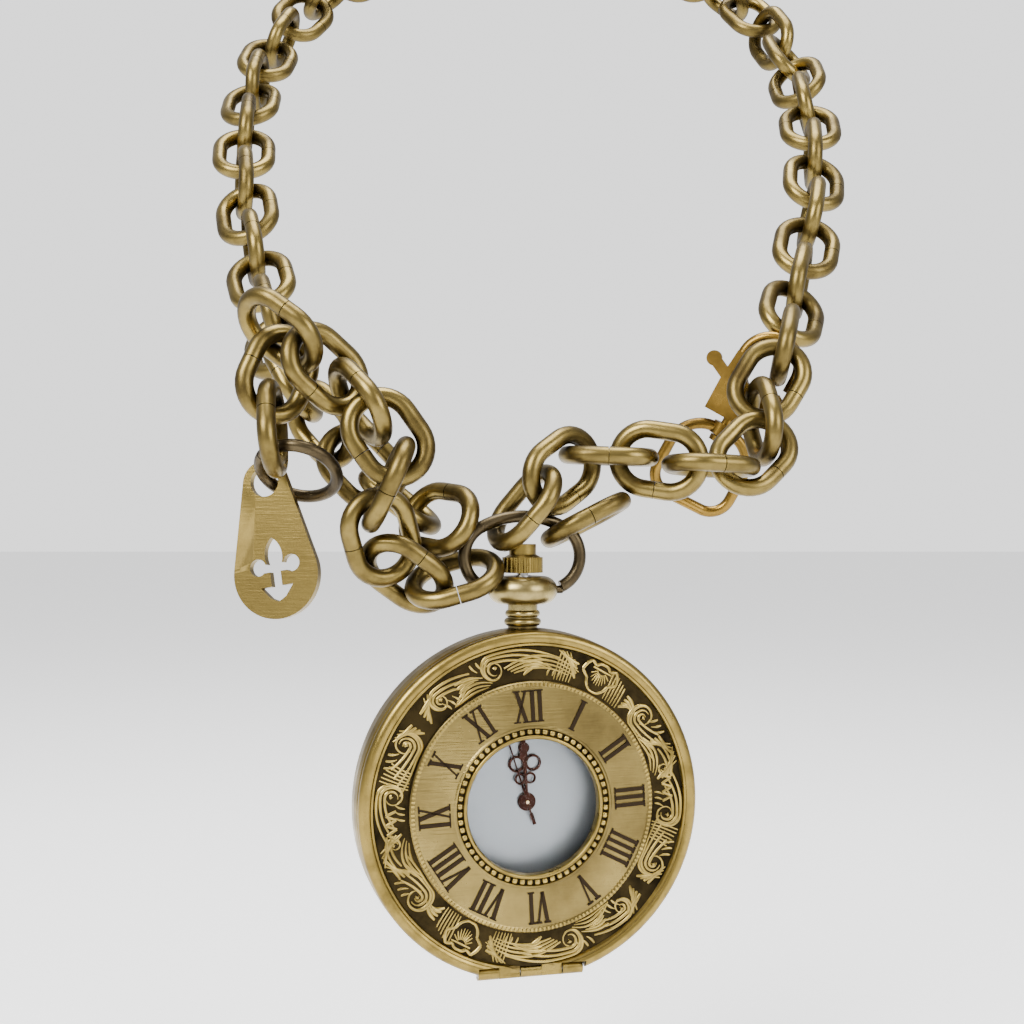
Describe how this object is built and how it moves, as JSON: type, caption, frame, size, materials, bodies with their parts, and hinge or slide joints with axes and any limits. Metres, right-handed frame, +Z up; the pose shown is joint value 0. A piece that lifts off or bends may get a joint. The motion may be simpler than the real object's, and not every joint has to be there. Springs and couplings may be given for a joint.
{
  "type": "pocket watch chain",
  "caption": "Cable chain of heavy oval links worn as a loop, with a half-hunter pocket watch on its bow, a trigger clasp and a pierced teardrop charm.",
  "frame": {"origin": "centre of the link at the nape of the wearer's neck", "axes": "+X to the viewer's right, +Y away from the viewer (towards the wearer's back), +Z up"},
  "size_m": [0.1113, 0.1162, 0.1867],
  "materials": {
    "brass": "antiqued, worn bright on high edges",
    "cover_brass": "antiqued brass with dark recesses",
    "dark_bronze": "darker bronze plating",
    "clasp_gold": "golden plating, polished",
    "dial_white": "silver-white",
    "hand_brown": "dark brown lacquer",
    "glass": "clear",
    "steel": "plain",
    "plastic": "ivory moulding",
    "gear_brass": "turned",
    "board": "green laminate",
    "copper": "enamelled wire"
  },
  "bodies": {
    "neck": {"neck_links": "brass"},
    "left_11": {"left_link_11": "brass"},
    "left_12": {"left_link_12": "brass"},
    "left_13": {"left_link_13": "brass"},
    "left_14": {"left_link_14": "brass"},
    "left_15": {"left_link_15": "brass"},
    "left_16": {"left_link_16": "brass"},
    "left_17": {"left_link_17": "brass"},
    "left_18": {"left_link_18": "brass"},
    "right_11": {"right_link_11": "brass"},
    "right_12": {"right_link_12": "brass"},
    "right_13": {"right_link_13": "brass"},
    "right_14": {"right_link_14": "brass"},
    "right_15": {"right_link_15": "brass"},
    "right_16": {"right_link_16": "brass"},
    "right_17": {"right_link_17": "brass"},
    "right_18": {"right_link_18": "brass"},
    "front": {"left_strand": "brass", "doubled_strand_low": "brass", "doubled_strand_high": "brass", "tag_strand": "brass", "right_strand_high": "brass", "right_strand_low": "brass", "bow_link": "brass"},
    "bow": {"bow": "dark_bronze"},
    "watch": {"pendant": "brass", "case_middle": "brass", "case_back": "brass", "hinge_pin": "steel", "crystal": "glass", "dial": "dial_white", "movement_holder": "plastic", "movement_plate": "gear_brass", "train_bridge": "gear_brass", "circuit_board": "board", "coil": "copper", "battery_cell": "steel"},
    "cover": {"front_cover": "cover_brass", "cover_window": "glass"},
    "sleeve": {"stem_sleeve": "steel"},
    "crown": {"crown": "brass", "crown_stem": "steel"},
    "lock": {"lock_slide": "steel"},
    "hour": {"hour_hand": "hand_brown", "hour_wheel": "gear_brass"},
    "minute": {"minute_hand": "hand_brown", "cannon_pinion": "gear_brass"},
    "second": {"second_hand": "hand_brown", "second_wheel": "gear_brass"},
    "minute_wheel": {"minute_wheel": "gear_brass"},
    "step_wheel": {"step_wheel": "gear_brass"},
    "rotor": {"rotor": "steel"},
    "clasp": {"clasp_body": "clasp_gold", "clasp_rivet": "clasp_gold", "clasp_spring": "steel"},
    "lever": {"clasp_lever": "clasp_gold"},
    "clasp_loop": {"clasp_loop": "clasp_gold"},
    "ring": {"charm_ring": "dark_bronze"},
    "tag": {"charm_tag": "brass"}
  },
  "joints": [
    {"name": "left_sway_11", "type": "hinge", "parent": "neck", "child": "left_11", "pos_m": [-0.0503, -0.03739, -0.04729], "axis": [-1, 0, 0], "range_deg": [0, 8]},
    {"name": "left_sway_12", "type": "hinge", "parent": "left_11", "child": "left_12", "pos_m": [-0.04969, -0.0437, -0.05339], "axis": [-1, 0, 0], "range_deg": [0, 8]},
    {"name": "left_sway_13", "type": "hinge", "parent": "left_12", "child": "left_13", "pos_m": [-0.04877, -0.04978, -0.05969], "axis": [-1, 0, 0], "range_deg": [0, 8]},
    {"name": "left_sway_14", "type": "hinge", "parent": "left_13", "child": "left_14", "pos_m": [-0.04739, -0.0556, -0.06614], "axis": [-1, 0, 0], "range_deg": [0, 8]},
    {"name": "left_sway_15", "type": "hinge", "parent": "left_14", "child": "left_15", "pos_m": [-0.04557, -0.06113, -0.07274], "axis": [-1, 0, 0], "range_deg": [0, 8]},
    {"name": "left_sway_16", "type": "hinge", "parent": "left_15", "child": "left_16", "pos_m": [-0.04344, -0.06662, -0.07928], "axis": [-1, 0, 0], "range_deg": [0, 8]},
    {"name": "left_sway_17", "type": "hinge", "parent": "left_16", "child": "left_17", "pos_m": [-0.04101, -0.0725, -0.08536], "axis": [-1, 0, 0], "range_deg": [0, 8]},
    {"name": "left_sway_18", "type": "hinge", "parent": "left_17", "child": "left_18", "pos_m": [-0.03858, -0.07878, -0.09102], "axis": [-1, 0, 0], "range_deg": [0, 8]},
    {"name": "right_sway_11", "type": "hinge", "parent": "neck", "child": "right_11", "pos_m": [0.0503, -0.03739, -0.04729], "axis": [-1, 0, 0], "range_deg": [0, 8]},
    {"name": "right_sway_12", "type": "hinge", "parent": "right_11", "child": "right_12", "pos_m": [0.04969, -0.0437, -0.05339], "axis": [-1, 0, 0], "range_deg": [0, 8]},
    {"name": "right_sway_13", "type": "hinge", "parent": "right_12", "child": "right_13", "pos_m": [0.04877, -0.04978, -0.05969], "axis": [-1, 0, 0], "range_deg": [0, 8]},
    {"name": "right_sway_14", "type": "hinge", "parent": "right_13", "child": "right_14", "pos_m": [0.04739, -0.0556, -0.06614], "axis": [-1, 0, 0], "range_deg": [0, 8]},
    {"name": "right_sway_15", "type": "hinge", "parent": "right_14", "child": "right_15", "pos_m": [0.04557, -0.06113, -0.07274], "axis": [-1, 0, 0], "range_deg": [0, 8]},
    {"name": "right_sway_16", "type": "hinge", "parent": "right_15", "child": "right_16", "pos_m": [0.04344, -0.06662, -0.07928], "axis": [-1, 0, 0], "range_deg": [0, 8]},
    {"name": "right_sway_17", "type": "hinge", "parent": "right_16", "child": "right_17", "pos_m": [0.04101, -0.0725, -0.08536], "axis": [-1, 0, 0], "range_deg": [0, 8]},
    {"name": "right_sway_18", "type": "hinge", "parent": "right_17", "child": "right_18", "pos_m": [0.03858, -0.07878, -0.09102], "axis": [-1, 0, 0], "range_deg": [0, 8]},
    {"name": "front_sway", "type": "hinge", "parent": "left_18", "child": "front", "pos_m": [-0.03646, -0.08532, -0.09651], "axis": [-1, 0, 0], "range_deg": [0, 8]},
    {"name": "bow_hang", "type": "hinge", "parent": "front", "child": "bow", "pos_m": [-0.0014, -0.097, -0.1195], "axis": [0.9703, 0.2419, 0], "range_deg": [-1, 1]},
    {"name": "watch_swing", "type": "hinge", "parent": "bow", "child": "watch", "pos_m": [-0.0014, -0.097, -0.1292], "axis": [0.9703, 0.2419, 0], "range_deg": [-15, 5]},
    {"name": "cover_hinge", "type": "hinge", "parent": "watch", "child": "cover", "pos_m": [-0.00048, -0.10069, -0.1801], "axis": [0.9703, 0.2419, 0], "range_deg": [0, 100]},
    {"name": "crown_push", "type": "slide", "parent": "watch", "child": "sleeve", "axis": [0, 0, 1], "range_m": [-0.00045, 0]},
    {"name": "crown_turn", "type": "hinge", "parent": "sleeve", "child": "crown", "pos_m": [-0.0014, -0.097, -0.1252], "axis": [0, 0, 1], "continuous": true},
    {"name": "lock_slide", "type": "slide", "parent": "watch", "child": "lock", "axis": [0, 0, 1], "range_m": [-0.00045, 0]},
    {"name": "minute_turn", "type": "hinge", "parent": "watch", "child": "minute", "pos_m": [-0.00106, -0.09836, -0.1578], "axis": [-0.2419, 0.9703, 0], "continuous": true},
    {"name": "hour_turn", "type": "hinge", "parent": "watch", "child": "hour", "pos_m": [-0.00106, -0.09836, -0.1578], "axis": [-0.2419, 0.9703, 0], "continuous": true},
    {"name": "minute_wheel_turn", "type": "hinge", "parent": "watch", "child": "minute_wheel", "pos_m": [-0.00375, -0.09872, -0.15618], "axis": [-0.2419, 0.9703, 0], "continuous": true},
    {"name": "second_turn", "type": "hinge", "parent": "watch", "child": "second", "pos_m": [-0.00106, -0.09836, -0.1578], "axis": [-0.2419, 0.9703, 0], "continuous": true},
    {"name": "step_wheel_turn", "type": "hinge", "parent": "watch", "child": "step_wheel", "pos_m": [-0.00271, -0.09619, -0.16077], "axis": [-0.2419, 0.9703, 0], "continuous": true},
    {"name": "rotor_turn", "type": "hinge", "parent": "watch", "child": "rotor", "pos_m": [-0.005, -0.09718, -0.16219], "axis": [-0.2419, 0.9703, 0], "continuous": true},
    {"name": "clasp_swing", "type": "hinge", "parent": "right_18", "child": "clasp", "pos_m": [0.03548, -0.08078, -0.09678], "axis": [-0.2297, -0.9679, -0.1024], "range_deg": [-2, 6]},
    {"name": "lever_press", "type": "hinge", "parent": "clasp", "child": "lever", "pos_m": [0.0313, -0.0793, -0.1014], "axis": [-0.2297, -0.9679, -0.1024], "range_deg": [0, 14], "stiffness_Nm_per_rad": 0.002, "springref_deg": -17.19, "deforming": ["clasp_spring"]},
    {"name": "loop_turn", "type": "hinge", "parent": "clasp", "child": "clasp_loop", "pos_m": [0.02904, -0.0783, -0.10575], "axis": [0.4525, -0.1994, 0.8692], "range_deg": [-8, 8]},
    {"name": "ring_swing", "type": "hinge", "parent": "front", "child": "ring", "pos_m": [-0.03385, -0.10583, -0.10995], "axis": [-0.1309, -0.6226, -0.7715], "range_deg": [-1, 1]},
    {"name": "tag_swing", "type": "hinge", "parent": "ring", "child": "tag", "pos_m": [-0.0361, -0.1001, -0.1145], "axis": [-0.2297, -0.9694, 0.0868], "range_deg": [-6, 6]}
  ],
  "couplings": [
    {"joint": "right_sway_11", "follows": "left_sway_11", "ratio": 1},
    {"joint": "right_sway_12", "follows": "left_sway_12", "ratio": 1},
    {"joint": "right_sway_13", "follows": "left_sway_13", "ratio": 1},
    {"joint": "right_sway_14", "follows": "left_sway_14", "ratio": 1},
    {"joint": "right_sway_15", "follows": "left_sway_15", "ratio": 1},
    {"joint": "right_sway_16", "follows": "left_sway_16", "ratio": 1},
    {"joint": "right_sway_17", "follows": "left_sway_17", "ratio": 1},
    {"joint": "right_sway_18", "follows": "left_sway_18", "ratio": 1},
    {"joint": "lock_slide", "follows": "crown_push", "ratio": 1},
    {"joint": "hour_turn", "follows": "minute_turn", "ratio": 0.083333},
    {"joint": "minute_wheel_turn", "follows": "minute_turn", "ratio": -0.28868},
    {"joint": "step_wheel_turn", "follows": "second_turn", "ratio": -5},
    {"joint": "rotor_turn", "follows": "second_turn", "ratio": 30}
  ]
}
